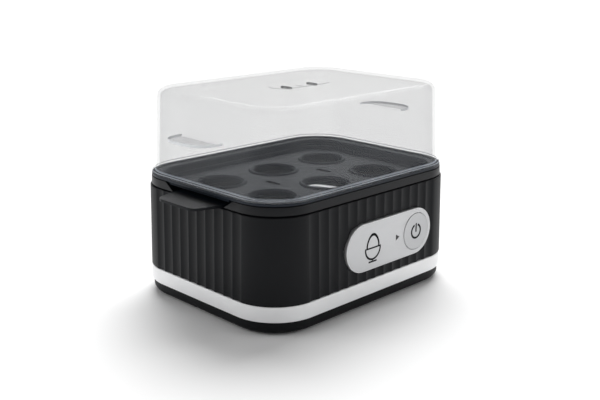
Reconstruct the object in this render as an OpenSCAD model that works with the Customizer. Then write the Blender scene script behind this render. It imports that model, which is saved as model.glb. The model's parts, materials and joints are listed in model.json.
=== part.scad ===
// Six-egg electric egg cooker: ribbed body with a lift-out egg tray and a clear domed lid.
// Front is -Y, the control panel faces that way; +Z is up; the origin is under the middle of the feet.
// Every plan outline is the same core rectangle grown by a "reach", so reach 33 is the shell's top edge.

/* [Body] */
// Length of the ribbed shell at its top edge
body_l = 190; // [186:1:200]
// Depth of the ribbed shell at its top edge
body_d = 147.2; // [144:0.2:154]
// Plan corner radius of the shell at its top edge
corner_r = 33; // [32:0.5:34]
// How far the shell's wall leans outwards from its top edge down to the trim band
wall_lean = 1.2; // [0.8:0.1:1.4]
// Height of the trim band's lower edge above the surface the cooker stands on
band_z0 = 9.6; // [9.2:0.1:10.2]
// Height of the trim band
band_h = 10.7; // [9:0.1:11.5]
// Height of the ribbed shell's top edge
shell_z1 = 79; // [78.6:0.1:79.2]
// How far the rubber feet stand out under the base
foot_h = 1; // [0.8:0.1:1.2]

/* [Ribs] */
// Hollow flutes along the front and the rear
flutes_long = 14; // [10:1:14]
// Hollow flutes along each end
flutes_short = 10; // [6:1:10]
// Depth of a flute
flute_depth = 0.9; // [0.5:0.05:1.1]

/* [Lid] */
// Height of the lid's flat top
lid_top = 147; // [142:0.5:152]
// Wall thickness of the clear lid
lid_wall = 2.2; // [1.8:0.1:2.4]
// Outer radius of the lid's rounded top edge
lid_round = 6.6; // [6:0.2:8]
// How far each moulded grip stands out from the lid's wall
grip_reach = 19.3; // [16:0.1:20]

/* [Tray] */
// Radius of the hole that an egg sits in
seat_r = 15.5; // [14:0.5:16]
// Distance between neighbouring egg seats along the length
seat_pitch_x = 52; // [50:0.5:53]
// Distance between the two rows of egg seats
seat_pitch_y = 54; // [52:0.5:55]
// How far each tray handle stands out past the shell's end
handle_reach = 18.2; // [15:0.1:20]

/* [Panel] */
// Length of the stadium-shaped control panel
panel_l = 90; // [88:1:91]
// Height of the control panel
panel_h = 34; // [33:0.5:34.5]
// Height of the control panel's centre line
panel_z = 45; // [44.6:0.1:45.2]
// Radius of the round power button
button_r = 13.45; // [12.5:0.05:13.5]
// How far the power button travels when it is pressed
button_travel = 1.2; // [0.8:0.1:1.2]

/* [Hidden] */
$fn = 72;
eps = 0.01;

// Core rectangle that every plan outline grows from
core_x = body_l / 2 - corner_r;
core_y = body_d / 2 - corner_r;

// Shell and band
band_z1 = band_z0 + band_h;
shell_top_reach = corner_r;
shell_low_reach = corner_r + wall_lean;
shell_wall = 2.4;
shell_round = 0.6;
wall_tilt = atan(wall_lean / (shell_z1 - band_z1));
band_inner = 31.2;
band_edge = 0.3;

// Flutes
flute_pitch_long = 9.2;
flute_pitch_short = 9.05;
flute_chord = 8.9;
flute_r = (pow(flute_chord / 2, 2) + pow(flute_depth, 2)) / (2 * flute_depth);

// Base pan
base_reach = 33;
base_round = 6;
base_floor = 2.5;
pan_inner = 28.4;
pan_upstand = 31;
pan_z1 = band_z1 + 3;
floor_top = foot_h + base_floor;
post_reach = 24;
post_x = core_x + post_reach * cos(45);
post_y = core_y + post_reach * sin(45);
post_r = 3.6;
post_hole_r = 1.65;
boss_r = 4.5;
boss_z1 = 16.4;
screw_seat_z = 5.4;
foot_x = core_x + 6;
foot_y = core_y + 5.4;
foot_r = 7;
foot_sunk = 1.2;

// Collar and water tub, one moulding
ring_z0 = shell_z1 + 0.8;
ring_z1 = 85.6;
ring_reach = 32.1;
ledge_z = 84.7;
ledge_outer = 30.4;
skirt_outer = 30.3;
skirt_inner = 28.3;
skirt_z0 = 68.4;
tub_wall_in = 23.9;
tub_wall_out = 26.1;
tub_slope_z = 74.4;
tub_floor_z = 58.4;
tub_floor_reach = 12;
tub_t = 2.2;
notch_low = 25.2;
notch_high = 39.4;
notch_top = ring_z1 + 2.8;
notch_cheek = 2.2;

// Heating plate and what hangs under it
plate_hole_r = 46;
plate_flange_r = 50;
plate_flange_z = 59.6;
plate_low_z = 52.9;
plate_t = 1;
element_ring_r = 32;
element_r = 3.3;
element_z = plate_low_z - element_r - 0.05;
element_gap = 50;
pin_angle = element_gap / 2 + 6;
pin_x = element_ring_r * sin(pin_angle);
pin_y = element_ring_r * cos(pin_angle);
strap_z = 44.9;
strap_t = 1.2;
strap_foot_z = 47.2;
strap_post_x = 58;
strap_half = 7;
pin_z = 40.4;
pin_r = 1.3;
tab_w = 6.3;
tab_t = 0.8;
cap_z = plate_low_z - 4.1;
cap_tab_z = strap_z + 2.1;

// Control panel stack, front faces first
panel_x = 14.9;
panel_face = core_y + 35;
panel_t = 2;
panel_back = core_y + 30.8;
panel_gap = 0.6;
holder_t = 2;
holder_margin = 2;
button_x = panel_x + panel_l / 2 - panel_h / 2;
button_face = panel_face + 0.3;
button_hole_r = button_r + 0.3;
button_flange_r = button_r + 1.45;
stem_r = 3.2;
stem_end = core_y + 22.6;
cup_r = button_flange_r + 0.3;
cup_back = core_y + 23.8;
plunger_r = 2.4;
plunger_l = 5.7;
board_front = core_y + 11.4;
board_t = 1.6;
mark_t = 0.2;
mark_x = panel_x - 18.7;
lens_x = panel_x + 7.7;

// Circuit board behind the panel, held on four posts
board_x = 26.5;
board_l = 63;
board_h = 20;
board_hole_x = [-1, 54];
board_hole_z = [-7, 7];
board_back = -(board_front - board_t);
buzzer_x = 12.5;
buzzer_z = panel_z - 2.6;
buzzer_r = 6;
buzzer_h = 7;

// Cord outlet in the rear
gland_x = 45;
gland_z = 32.4;
gland_bore_r = 3.2;
gland_r = 6.2;
gland_pad = core_y + 33.7;
gland_pad_r = 10.5;
gland_head_r = 9;
gland_face = button_face;
gland_end = core_y + 25;
nut_front = core_y + 31.3;
nut_t = 4;
clamp_y = core_y + 14;
clamp_half = 9;
clamp_boss_h = 8;
clamp_z = floor_top + clamp_boss_h;
clamp_t = 5;

// Terminal block on the floor of the pan
block_x = 14;
block_y = core_y - 7;
block_l = 32;
block_d = 14;
block_h = 10;
block_way = 10;
block_z = floor_top + 6;

// Thermal fuse beside the thermostat
fuse_y = -21;
fuse_z = 49.6;

// Egg tray
tray_t = 1.8;
tray_floor = 78.9;
bead_z = 87.7;
bead_in = 28.9;
rim_reach = 30.2;
rim_over = 31.6;
rim_over_z = 86;
channel_z = bead_z - 1.2;
channel_in = 23.4;
brow_z = 84.3;
brow_half = 31;
brow_reach = 31.2;
handle_z = 79.3;
handle_half = 24.2;
handle_inner = core_x + 20.7;
handle_root = core_x + 31.2;
handle_round = 7;
handle_taper = 15.5;
seat_low_z = 74.6;
seat_ring_h = 1.3;
slot_l = 14;
slot_w = 4.4;

// Lid
lid_low_reach = 28.8;
lid_high_reach = 26;
flange_z = bead_z;
flange_t = 1.6;
flange_reach = 31.4;
flange_fillet = 1.3;
lip_z = bead_z - 1;
lip_reach = 28.3;
grip_z = 118.6;
grip_t = 1.8;
grip_half = 21;
vent_x = 12.8;
vent_l = 10;
vent_w = 3.2;
recess_l = 53;
recess_w = 20;
recess_t = 0.9;
dimple_l = 7;
dimple_w = 2.6;
dimple_t = 0.5;

// ---------- shared shapes ----------

// Points along an arc from angle a0 to a1
function arc(cx, cy, r, a0, a1, n = 6) =
    [for (i = [0 : n]) [cx + r * cos(a0 + (a1 - a0) * i / n), cy + r * sin(a0 + (a1 - a0) * i / n)]];

// Half of a squared-off oval that stands out by "out" from a base line "half" wide each way
function half_oval(out, half, power = 3, n = 20) =
    [for (i = [0 : n])
        let (a = -90 + 180 * i / n)
        [out * pow(cos(a), 2 / power), half * sign(sin(a)) * pow(abs(sin(a)), 2 / power)]];

// A section drawn as [reach, height], carried round the core rectangle
module swept(section) {
    for (mx = [0, 1], my = [0, 1])
        mirror([mx, 0, 0]) mirror([0, my, 0])
            translate([core_x, core_y, 0]) rotate_extrude(angle = 90) polygon(section);
    for (my = [0, 1])
        mirror([0, my, 0])
            translate([-core_x, core_y, 0]) rotate([90, 0, 90]) linear_extrude(2 * core_x) polygon(section);
    for (mx = [0, 1])
        mirror([mx, 0, 0])
            translate([core_x, core_y, 0]) rotate([90, 0, 0]) linear_extrude(2 * core_y) polygon(section);
}

// The same, with the core rectangle filled between two heights
module swept_solid(section, z0, z1) {
    swept(section);
    translate([-core_x, -core_y, z0]) cube([2 * core_x, 2 * core_y, z1 - z0]);
}

// Flat plate at one reach
module plate(reach, z0, z1) {
    translate([0, 0, z0]) linear_extrude(z1 - z0) {
        square([2 * (core_x + reach), 2 * core_y], center = true);
        square([2 * core_x, 2 * (core_y + reach)], center = true);
        for (x = [-core_x, core_x], y = [-core_y, core_y]) translate([x, y]) circle(reach);
    }
}

// Stadium outline
module stadium(l, h) {
    square([l - h, h], center = true);
    for (s = [-1, 1]) translate([s * (l - h) / 2, 0]) circle(h / 2);
}

// Something drawn in the panel's plane, extruded from depth "front" back to depth "back"
module at_front(x, z, front, back) {
    translate([x, -front, z]) rotate([90, 0, 0]) translate([0, 0, back - front])
        linear_extrude(front - back) children();
}

// The same, facing the rear
module at_rear(x, z, front, back) {
    translate([x, back, z]) rotate([-90, 0, 0]) linear_extrude(front - back) children();
}

module at_corners(x, y) {
    for (sx = [-1, 1], sy = [-1, 1]) translate([sx * x, sy * y, 0]) children();
}

// Point at position t between the second and third of four route points, on a smooth curve
function between(a, b, c, d, t) =
    b + t * (c - a) / 2
    + t * t * (a - 2.5 * b + 2 * c - d / 2)
    + t * t * t * (1.5 * b - 1.5 * c + (d - a) / 2);

// A smooth path through a route, with "steps" points to each stretch
function smooth(route, steps = 4) =
    let (last = len(route) - 1)
    concat(
        [for (i = [0 : last - 1], k = [0 : steps - 1])
            between(route[max(i - 1, 0)], route[i], route[i + 1], route[min(i + 2, last)], k / steps)],
        [route[last]]
    );

function unit(v) = v / norm(v);

// Round insulated wire along a route
module wire(route, r = 1.1, sides = 8) {
    path = smooth(route);
    last = len(path) - 1;
    reference = unit([0.31, 0.22, 0.93]);
    rings = [
        for (i = [0 : last])
            let (t = unit(path[min(i + 1, last)] - path[max(i - 1, 0)]))
            let (u = unit(cross(t, reference)), v = cross(t, u))
            for (k = [0 : sides - 1])
                path[i] + r * (u * cos(360 * k / sides) + v * sin(360 * k / sides))
    ];
    faces = concat(
        [[for (k = [0 : sides - 1]) k]],
        [for (i = [0 : last - 1], k = [0 : sides - 1])
            let (a = i * sides + k, b = i * sides + (k + 1) % sides) [a, a + sides, b]],
        [for (i = [0 : last - 1], k = [0 : sides - 1])
            let (a = i * sides + k, b = i * sides + (k + 1) % sides) [b, a + sides, b + sides]],
        [[for (k = [sides - 1 : -1 : 0]) last * sides + k]]
    );
    polyhedron(rings, faces);
}

// Pan-head screw, head downwards from z = 0
module screw(shank_r, shank_l, head_r, head_h) {
    translate([0, 0, -head_h]) difference() {
        cylinder(h = head_h, r = head_r);
        for (a = [0, 90])
            rotate(a) translate([-head_r * 0.6, -0.4, -eps]) cube([head_r * 1.2, 0.8, head_h * 0.5]);
    }
    translate([0, 0, -eps]) cylinder(h = shank_l + eps, r = shank_r);
}

// ---------- base ----------

module base_pan() {
    outer = concat(
        [[0, foot_h]],
        arc(base_reach - base_round, foot_h + base_round, base_round, -90, 0),
        [[base_reach, band_z0], [pan_upstand, band_z0], [pan_upstand, pan_z1], [0, pan_z1]]
    );
    color("#232527") difference() {
        union() {
            difference() {
                swept_solid(outer, foot_h, pan_z1);
                plate(pan_inner, floor_top, pan_z1 + 1);
            }
            at_corners(post_x, post_y)
                translate([0, 0, floor_top - eps]) cylinder(h = boss_z1 - floor_top, r = boss_r);
            for (s = [-1, 1])
                translate([gland_x + s * clamp_half, clamp_y, floor_top - eps])
                    cylinder(h = clamp_boss_h, r = 3.5);
        }
        at_corners(post_x, post_y) {
            translate([0, 0, foot_h - 1]) cylinder(h = screw_seat_z - foot_h + 1, r = post_r);
            cylinder(h = boss_z1 + 2, r = 1.8);
        }
        at_corners(foot_x, foot_y)
            translate([0, 0, foot_h - 1]) cylinder(h = 1 + foot_sunk, r = foot_r + 0.1);
        for (s = [-1, 1])
            translate([gland_x + s * clamp_half, clamp_y, floor_top + 1]) cylinder(h = 12, r = 1.35);
    }
}

module rubber_feet() {
    color("#2e2e30") at_corners(foot_x, foot_y) {
        cylinder(h = 0.6, r1 = foot_r - 0.5, r2 = foot_r);
        translate([0, 0, 0.6]) cylinder(h = foot_h + foot_sunk - 0.6, r = foot_r);
    }
}

module base_screws() {
    color("silver") at_corners(post_x, post_y)
        translate([0, 0, screw_seat_z]) screw(1.6, 28, 3.2, 2.4);
}

module trim_band() {
    section = [
        [band_inner, band_z0], [shell_low_reach - band_edge, band_z0],
        [shell_low_reach, band_z0 + band_edge], [shell_low_reach, band_z1 - band_edge],
        [shell_low_reach - band_edge, band_z1], [band_inner, band_z1]
    ];
    color("#c9cacb") swept(section);
}

// ---------- ribbed shell ----------

// Row of hollow flutes in the wall that faces -Y at distance "core" plus the shell's reach
module flute_row(count, pitch, core) {
    axis_y = -(core + shell_low_reach) - (flute_r - flute_depth);
    for (i = [0 : count - 1])
        translate([(i - (count - 1) / 2) * pitch, axis_y, band_z1]) rotate([-wall_tilt, 0, 0])
            translate([0, 0, -6]) cylinder(h = shell_z1 - band_z1 + 14, r = flute_r);
}

module ribbed_shell() {
    section = concat(
        [[shell_low_reach - shell_wall, band_z1]],
        arc(shell_low_reach - shell_round, band_z1 + shell_round, shell_round, -90, 0, 3),
        arc(shell_top_reach - shell_round, shell_z1 - shell_round, shell_round, 0, 90, 3),
        [[shell_top_reach - shell_wall, shell_z1]]
    );
    color("#303234") difference() {
        union() {
            difference() {
                swept(section);
                for (a = [0, 180]) rotate(a) flute_row(flutes_long, flute_pitch_long, core_y);
                for (a = [90, 270]) rotate(a) flute_row(flutes_short, flute_pitch_short, core_x);
            }
            at_rear(gland_x, gland_z, gland_pad, core_y + 31.9) circle(gland_pad_r);
        }
        at_front(panel_x, panel_z, panel_face + 1, panel_back - 1)
            stadium(panel_l + 2 * panel_gap, panel_h + 2 * panel_gap);
        at_rear(gland_x, gland_z, gland_face + 1, gland_pad) circle(gland_pad_r);
        at_rear(gland_x, gland_z, gland_face + 1, core_y + 28) circle(gland_r + 0.1);
    }
}

// ---------- collar and water tub ----------

// End notch that a tray handle passes through: wide at the top, narrower at the bottom
module notch(low, high, z0, z1, x0, x1) {
    for (mx = [0, 1]) mirror([mx, 0, 0])
        translate([x0, 0, 0]) rotate([90, 0, 90])
            linear_extrude(x1 - x0) polygon([[-low, z0], [low, z0], [high, z1], [-high, z1]]);
}

module collar_tub() {
    outer = concat(
        [
            [0, tub_floor_z - tub_t], [tub_floor_reach + 0.9, tub_floor_z - tub_t],
            [tub_wall_out, tub_slope_z - 0.8], [tub_wall_out, ledge_z - 2], [skirt_inner, ledge_z - 2],
            [skirt_inner, skirt_z0], [skirt_outer, skirt_z0], [skirt_outer, ring_z0], [ring_reach, ring_z0]
        ],
        arc(ring_reach - 0.8, ring_z1 - 0.5, 0.5, 0, 90, 3),
        [[ledge_outer, ring_z1], [ledge_outer, ledge_z], [0, ledge_z]]
    );
    cavity = [
        [0, tub_floor_z], [tub_floor_reach, tub_floor_z], [tub_wall_in, tub_slope_z],
        [tub_wall_in, ring_z1 + 1], [0, ring_z1 + 1]
    ];
    color("#292b2d") difference() {
        union() {
            swept_solid(outer, tub_floor_z - tub_t, ledge_z);
            notch(notch_low + notch_cheek, notch_high + notch_cheek, shell_z1 - tub_t, ledge_z,
                core_x + tub_wall_out - 0.5, core_x + skirt_outer);
            at_corners(post_x, post_y)
                translate([0, 0, boss_z1]) cylinder(h = tub_slope_z - boss_z1, r = post_r);
            for (s = [-1, 1])
                translate([s * strap_post_x, 0, strap_foot_z + strap_t]) cylinder(h = 9, r = 4);
        }
        swept_solid(cavity, tub_floor_z, ring_z1 + 1);
        notch(notch_low, notch_high, shell_z1, notch_top, core_x + tub_wall_in - 1, core_x + 36);
        translate([0, 0, tub_floor_z - 4]) cylinder(h = 6, r = plate_hole_r);
        at_corners(post_x, post_y) translate([0, 0, boss_z1 - 1]) cylinder(h = 22, r = post_hole_r);
        for (s = [-1, 1])
            translate([s * strap_post_x, 0, strap_foot_z]) cylinder(h = 8.4, r = 1.35);
    }
}

// ---------- heating plate and its fittings ----------

module plate_seal() {
    color("#8d3b34") rotate_extrude()
        translate([plate_hole_r + 0.4, tub_floor_z]) square([3.4, plate_flange_z - tub_floor_z]);
}

module heating_plate() {
    well_r = plate_hole_r - 0.6;
    color("#b9bcc0") rotate_extrude() polygon([
        [0, plate_low_z], [well_r - 1.4, plate_low_z], [well_r, plate_low_z + 1.5],
        [well_r, plate_flange_z], [plate_flange_r, plate_flange_z],
        [plate_flange_r, plate_flange_z + plate_t], [well_r - plate_t, plate_flange_z + plate_t],
        [well_r - plate_t, plate_low_z + 2.1], [well_r - 2.1, plate_low_z + plate_t],
        [0, plate_low_z + plate_t]
    ]);
}

module heating_element() {
    color("#6f6a63") {
        translate([0, 0, element_z]) rotate(90 + element_gap / 2)
            rotate_extrude(angle = 360 - element_gap)
                translate([element_ring_r, 0]) circle(element_r, $fn = 32);
        for (s = [-1, 1]) translate([s * pin_x, pin_y, pin_z]) cylinder(h = element_z - pin_z, r = pin_r);
    }
}

module element_terminals() {
    color("#d6b45c") for (s = [-1, 1]) translate([s * pin_x, pin_y, 0]) {
        difference() {
            translate([0, 0, pin_z - 1.4]) cylinder(h = 4.4, r = pin_r + 0.8);
            translate([0, 0, pin_z]) cylinder(h = 4, r = pin_r + 0.02);
        }
        translate([-tab_w / 2, -tab_t / 2, pin_z - 9]) cube([tab_w, tab_t, 7.8]);
    }
}

module plate_strap() {
    foot_in = strap_post_x - 6;
    foot_out = strap_post_x + 6;
    joggle = 2;
    half = [
        [0, strap_z], [foot_in - joggle, strap_z], [foot_in, strap_foot_z], [foot_out, strap_foot_z],
        [foot_out, strap_foot_z + strap_t], [foot_in, strap_foot_z + strap_t],
        [foot_in - joggle, strap_z + strap_t], [0, strap_z + strap_t]
    ];
    color("#a9abae") difference() {
        for (mx = [0, 1]) mirror([mx, 0, 0])
            translate([0, strap_half, 0]) rotate([90, 0, 0]) linear_extrude(2 * strap_half) polygon(half);
        for (s = [-1, 1]) translate([s * strap_post_x, 0, strap_foot_z - 1]) cylinder(h = 4, r = 1.6);
    }
}

module strap_screws() {
    color("silver") for (s = [-1, 1])
        translate([s * strap_post_x, 0, strap_foot_z]) screw(1.3, 7.5, 2.8, 1.8);
}

module thermostat() {
    color("#d9d4c4") {
        translate([0, 0, strap_z + strap_t + 0.1]) cylinder(h = cap_z - strap_z - strap_t, r = 7);
        translate([0, 0, cap_z]) cylinder(h = plate_low_z - cap_z - 0.05, r = 8);
        for (a = [0, 180]) rotate(a) translate([-tab_w / 2, 6, cap_tab_z]) cube([tab_w, 9, tab_t]);
    }
}

module thermal_fuse() {
    color("#c8cacc") translate([0, fuse_y, fuse_z]) rotate([0, 90, 0]) {
        cylinder(h = 11, r = 2, center = true);
        cylinder(h = 30, r = 0.5, center = true);
    }
}

module fuse_sleeve() {
    color("#e8e3d3") translate([0, fuse_y, fuse_z]) rotate([0, 90, 0]) difference() {
        cylinder(h = 16, r = 3.1, center = true);
        cylinder(h = 18, r = 2.1, center = true);
    }
}

// ---------- control panel ----------

// Power sign: an open ring with a bar through the gap
module power_sign() {
    difference() {
        circle(5.4);
        circle(4.3);
        translate([-1.7, 1.5]) square([3.4, 5]);
    }
    translate([-0.55, -0.6]) square([1.1, 6.4]);
}

// Egg outline built from four arcs, pointed end up
function egg(r) = concat(
    arc(0, 0, r, 180, 360, 16),
    arc(-r, 0, 2 * r, 0, 45, 8),
    arc(0, r, r * (2 - sqrt(2)), 45, 135, 8),
    arc(r, 0, 2 * r, 135, 180, 8)
);

// Egg standing in a plain cup
module egg_sign() {
    difference() {
        polygon(egg(6.6));
        polygon(egg(5.5));
        translate([-8, -8]) square([16, 6]);
    }
    difference() {
        translate([0, -2]) circle(8.2);
        translate([0, -2]) circle(7.1);
        translate([-9, -2]) square([18, 12]);
    }
    translate([-8.2, -2]) square([16.4, 1.1]);
    translate([-4.2, -11.9]) square([8.4, 1.2]);
    translate([-0.55, -11]) square([1.1, 2]);
}

module lens_sign() {
    polygon([[-2, -2.4], [2.1, 0], [-2, 2.4]]);
}

module control_panel() {
    color("#cdcecf") difference() {
        at_front(panel_x, panel_z, panel_face, panel_back) stadium(panel_l, panel_h);
        at_front(panel_x, panel_z, panel_face - panel_t, panel_back - 1)
            stadium(panel_l - 3.2, panel_h - 3.2);
        at_front(button_x, panel_z, panel_face + 1, panel_back - 1) circle(button_hole_r);
        at_front(lens_x, panel_z, panel_face + 1, panel_back - 1) lens_sign();
        at_front(mark_x, panel_z, panel_face + 1, panel_face - mark_t) egg_sign();
    }
}

module egg_mark() {
    color("#1c1c1c") at_front(mark_x, panel_z, panel_face, panel_face - mark_t) egg_sign();
}

module panel_holder() {
    holder_back = panel_back - holder_t;
    color("#1d1e1f") difference() {
        union() {
            at_front(panel_x, panel_z, panel_back, holder_back)
                stadium(panel_l + 2 * holder_margin, panel_h + 2 * holder_margin);
            at_front(button_x, panel_z, holder_back + eps, cup_back - 2) circle(cup_r + 2);
            for (x = board_hole_x, z = board_hole_z)
                at_front(x, panel_z + z, holder_back + eps, board_front) circle(2.4);
        }
        at_front(button_x, panel_z, panel_back + 1, cup_back) circle(cup_r);
        at_front(button_x, panel_z, cup_back + 1, cup_back - 3) circle(stem_r + 0.05);
        at_front(lens_x, panel_z, panel_back + 1, holder_back - 1) circle(2.4);
        for (x = board_hole_x, z = board_hole_z)
            at_front(x, panel_z + z, board_front + 8, board_front - 1) circle(1.15);
    }
}

module indicator_lens() {
    color("#3a3a3c") {
        at_front(lens_x, panel_z, panel_face, panel_back) lens_sign();
        at_front(lens_x, panel_z, panel_back + eps, board_front + 4.2) circle(2);
    }
}

module indicator_led() {
    color("#d8f0d8") {
        at_front(lens_x, panel_z, board_front + 2.6, board_front) circle(1.5);
        translate([lens_x, -(board_front + 2.6), panel_z]) sphere(1.5, $fn = 32);
    }
}

module power_button() {
    flange_front = panel_face - panel_t - 0.2;
    flange_back = flange_front - 1.2;
    color("#d2d3d4") {
        difference() {
            at_front(button_x, panel_z, button_face, flange_front) circle(button_r);
            at_front(button_x, panel_z, button_face + 1, button_face - mark_t) power_sign();
        }
        at_front(button_x, panel_z, flange_front, flange_back) circle(button_flange_r);
        at_front(button_x, panel_z, flange_back + eps, stem_end) circle(stem_r);
    }
}

module power_symbol() {
    color("#2a2a2a") at_front(button_x, panel_z, button_face, button_face - mark_t) power_sign();
}

module switch_plunger() {
    color("#2c6a4a") at_front(button_x, panel_z, stem_end, stem_end - plunger_l) circle(plunger_r);
}

module switch_body() {
    color("#202224") difference() {
        at_front(button_x, panel_z, stem_end - button_travel - 2.4, board_front)
            square([12, 12], center = true);
        at_front(button_x, panel_z, stem_end, board_front + 2.5) circle(plunger_r + 0.05);
    }
}

module circuit_board() {
    color("#2f5e3a") difference() {
        at_front(board_x, panel_z, board_front, -board_back) square([board_l, board_h], center = true);
        for (x = board_hole_x, z = board_hole_z)
            at_front(x, panel_z + z, board_front + 1, board_front - 3) circle(1.4);
    }
}

module board_screws() {
    color("silver") for (x = board_hole_x, z = board_hole_z)
        translate([x, board_back, panel_z + z]) rotate([90, 0, 0]) screw(1.1, 7, 2.1, 1.4);
}

module buzzer() {
    end = -board_back - buzzer_h;
    color("#18191a") difference() {
        at_front(buzzer_x, buzzer_z, -board_back, end) circle(buzzer_r);
        at_front(buzzer_x, buzzer_z, end + 2, end - 1) circle(1);
    }
}

// ---------- mains entry and wiring ----------

module terminal_block() {
    color("#e9e6da") difference() {
        translate([block_x, block_y, floor_top]) cube([block_l, block_d, block_h]);
        for (i = [0 : 2])
            translate([block_x + 6 + block_way * i, block_y + block_d / 2, floor_top + 4])
                cylinder(h = 8, r = 2);
    }
}

module cord_gland() {
    color("#1e1f20") difference() {
        union() {
            at_rear(gland_x, gland_z, gland_face, gland_pad) circle(gland_head_r);
            at_rear(gland_x, gland_z, gland_pad + eps, gland_end) circle(gland_r);
        }
        at_rear(gland_x, gland_z, gland_face + 1, gland_end - 1) circle(gland_bore_r);
    }
}

module gland_nut() {
    color("#2a2b2c") difference() {
        at_rear(gland_x, gland_z, nut_front, nut_front - nut_t) circle(gland_head_r + 0.5, $fn = 6);
        at_rear(gland_x, gland_z, nut_front + 1, nut_front - nut_t - 1) circle(gland_r + 0.05);
    }
}

module cord_clamp() {
    color("#3a3b3d") difference() {
        translate([gland_x - clamp_half - 4, clamp_y - 4, clamp_z - eps])
            cube([2 * clamp_half + 8, 8, clamp_t]);
        translate([gland_x, clamp_y - 5, clamp_z - 1]) rotate([-90, 0, 0]) cylinder(h = 10, r = 3.1);
        for (s = [-1, 1])
            translate([gland_x + s * clamp_half, clamp_y, clamp_z - 2]) cylinder(h = clamp_t + 4, r = 1.5);
    }
}

module clamp_screws() {
    color("silver") for (s = [-1, 1])
        translate([gland_x + s * clamp_half, clamp_y, clamp_z + clamp_t - eps])
            rotate([180, 0, 0]) screw(1.3, 10, 2.6, 1.8);
}

// Straight stub out of the terminal block at distance x along it
function from_block(x) = [for (d = [0, 3, 6]) [block_x + x, block_y - d, block_z]];

// Straight stub into the back of the circuit board
function to_board(x, z) = [for (d = [6, 3, 0]) [x, board_back + d, z]];

// Straight stub up on to a spade terminal of the element
function to_pin(x) = [for (d = [8, 4, 0]) [x, pin_y, pin_z - 9 - d]];

module live_wire() {
    color("#7a4a2a") wire(concat(from_block(6), [[19, 8, 17], [12, -18, 28]], to_board(3, panel_z - 6.6)));
}

module switched_wire() {
    color("#7a4a2a") wire(concat(
        [for (y = [15.05, 16, 17]) [0, y, cap_tab_z + tab_t / 2]],
        [[3, 21, 42.4], [12, 4, 36.4], [21, -20, 36.4]],
        to_board(24, panel_z - 7.6)
    ));
}

module link_wire() {
    color("#d8d5cc") wire(concat(
        [for (y = [-15.05, -16, -17]) [0, y, cap_tab_z + tab_t / 2]],
        [[4, -18, 42.9], [13, -19, 41.9], [17.2, -20.5, 44.9]],
        [for (x = [17.1, 16.05, 15.05]) [x, fuse_y, fuse_z]]
    ));
}

module fuse_wire() {
    color("#d8d5cc") wire(concat(
        [for (x = [-15.05, -16.05, -17.1]) [x, fuse_y, fuse_z]],
        [[-18, -19, 45.9], [-20, -14, 41.4], [-22, 2, 30.4], [-19, 20, 20.4]],
        to_pin(-pin_x)
    ));
}

module neutral_wire() {
    color("#3b6fb5") wire(concat(from_block(16), [[26, 22, 12]], to_pin(pin_x)));
}

module earth_wire() {
    color("#7fae3c") wire(concat(
        from_block(26), [[46, 18, 16], [56, 8, 29]],
        [for (d = [7, 4, 0]) [strap_post_x + 4.4, 0, strap_foot_z - d]]
    ));
}

// ---------- egg tray ----------

// Handle seen from above: a plate that narrows outwards to rounded corners
function handle_outline() =
    let (
        cx = core_x + corner_r + handle_reach - handle_round,
        cy = handle_half - ((cx - handle_root) * sin(handle_taper) + handle_round) / cos(handle_taper)
    )
    concat(
        [[handle_inner, -handle_half], [handle_root, -handle_half]],
        arc(cx, -cy, handle_round, handle_taper - 90, 0, 9),
        arc(cx, cy, handle_round, 0, 90 - handle_taper, 9),
        [[handle_root, handle_half], [handle_inner, handle_half]]
    );

module egg_tray() {
    outer = [
        [0, tray_floor - tray_t], [19.6, tray_floor - tray_t], [20.9, tray_floor - 0.9],
        [21.9, tray_floor + 1.4], [23.2, tray_floor + 3.1], [23.5, ledge_z], [rim_reach, ledge_z],
        [rim_reach, rim_over_z], [rim_over, rim_over_z], [rim_over, bead_z - 0.4],
        [rim_over - 0.4, bead_z], [0, bead_z]
    ];
    cavity = [
        [0, tray_floor], [18.9, tray_floor], [19.5, tray_floor + 0.3], [20.3, tray_floor + 2.7],
        [21.2, tray_floor + 3], [22.6, channel_z - 0.7], [channel_in, channel_z],
        [bead_in - 0.3, channel_z], [bead_in, bead_z], [bead_in, bead_z + 1], [0, bead_z + 1]
    ];
    x_seats = [for (i = [-1 : 1]) i * seat_pitch_x];
    y_seats = [-seat_pitch_y / 2, seat_pitch_y / 2];
    color("#33363a") difference() {
        union() {
            difference() {
                swept_solid(outer, tray_floor - tray_t, bead_z);
                swept_solid(cavity, tray_floor, bead_z + 1);
            }
            for (x = x_seats, y = y_seats) translate([x, y, 0]) {
                translate([0, 0, seat_low_z]) cylinder(h = 3, r = seat_r + 1.6);
                translate([0, 0, tray_floor - eps])
                    cylinder(h = seat_ring_h, r1 = seat_r + 3.4, r2 = seat_r + 2.4);
            }
            for (mx = [0, 1]) mirror([mx, 0, 0]) {
                translate([0, 0, handle_z]) linear_extrude(tray_t) polygon(handle_outline());
                translate([core_x + rim_reach - 1, -brow_half, brow_z])
                    cube([brow_reach - rim_reach + 1, 2 * brow_half, rim_over_z - brow_z + 0.5]);
            }
        }
        for (x = x_seats, y = y_seats) translate([x, y, 0]) {
            translate([0, 0, seat_low_z - 1]) cylinder(h = 12, r = seat_r);
            translate([0, 0, tray_floor + 0.2]) cylinder(h = 1.2, r1 = seat_r - 0.1, r2 = seat_r + 1.1);
        }
        for (s = [-1, 1]) translate([s * seat_pitch_x / 2, 0, tray_floor - 4])
            linear_extrude(8) rotate(90) stadium(slot_l, slot_w);
    }
}

// ---------- lid ----------

// Reach of the lid's outer wall at height z
function lid_reach(z) =
    lid_low_reach + (lid_high_reach - lid_low_reach) * (z - flange_z) / (lid_top - flange_z);

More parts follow.
